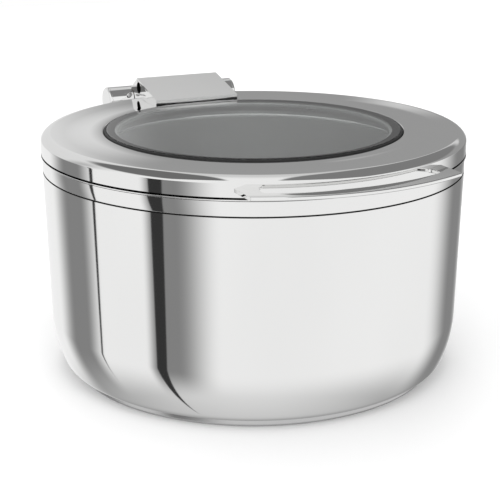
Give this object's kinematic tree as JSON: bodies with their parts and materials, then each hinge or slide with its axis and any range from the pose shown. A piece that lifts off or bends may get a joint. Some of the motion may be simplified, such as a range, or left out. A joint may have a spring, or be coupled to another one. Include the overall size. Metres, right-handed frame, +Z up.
{
  "type": "soup kettle",
  "caption": "Round polished steel soup kettle for an induction plate, with a deep insert and a hinged lid that has a round glass window and a flat curved front handle.",
  "frame": {"origin": "centre of the underside of the base, on the surface that the kettle stands on", "axes": "+Z up; the hinge is at +Y and the lid handle at -Y; the hinge axis is along X"},
  "size_m": [0.4008, 0.4605, 0.2503],
  "materials": {
    "polished_steel": "mirror-polished stainless steel",
    "satin_steel": "satin stainless steel",
    "insert_steel": "fine-ground stainless steel",
    "capsule_steel": "turned magnetic stainless steel",
    "cast_aluminium": "raw",
    "window_glass": "clear toughened",
    "silicone": "matt black silicone",
    "bronze": "sintered bronze",
    "damper_housing": "moulded",
    "spring_steel": "oiled spring wire"
  },
  "bodies": {
    "kettle": {"base_cap": "capsule_steel", "heat_spreader": "cast_aluminium", "outer_body": "polished_steel", "frame_ring": "polished_steel", "lid_bumpers": "silicone", "backing_plate": "satin_steel", "hinge_bracket": "polished_steel", "bracket_screws": "satin_steel", "hinge_axle": "satin_steel", "axle_nuts": "satin_steel", "disc_springs": "satin_steel", "end_caps": "polished_steel", "lock_screws": "satin_steel"},
    "lid": {"lid_cover": "polished_steel", "lid_liner": "satin_steel", "glass_window": "window_glass", "glass_gasket": "silicone", "hinge_plate": "polished_steel", "hinge_cover": "polished_steel", "cover_screws": "satin_steel", "hinge_bushes": "bronze", "damper_cartridge": "damper_housing", "torsion_spring": "spring_steel", "lid_handle": "polished_steel"},
    "insert": {"soup_insert": "insert_steel"}
  },
  "joints": [
    {"name": "lid_hinge", "type": "hinge", "parent": "kettle", "child": "lid", "pos_m": [0, 0.217, 0.2235], "axis": [-1, 0, 0], "range_deg": [0, 90]},
    {"name": "insert_lift", "type": "slide", "parent": "kettle", "child": "insert", "axis": [0, 0, 1], "range_m": [0, 0.004]}
  ]
}
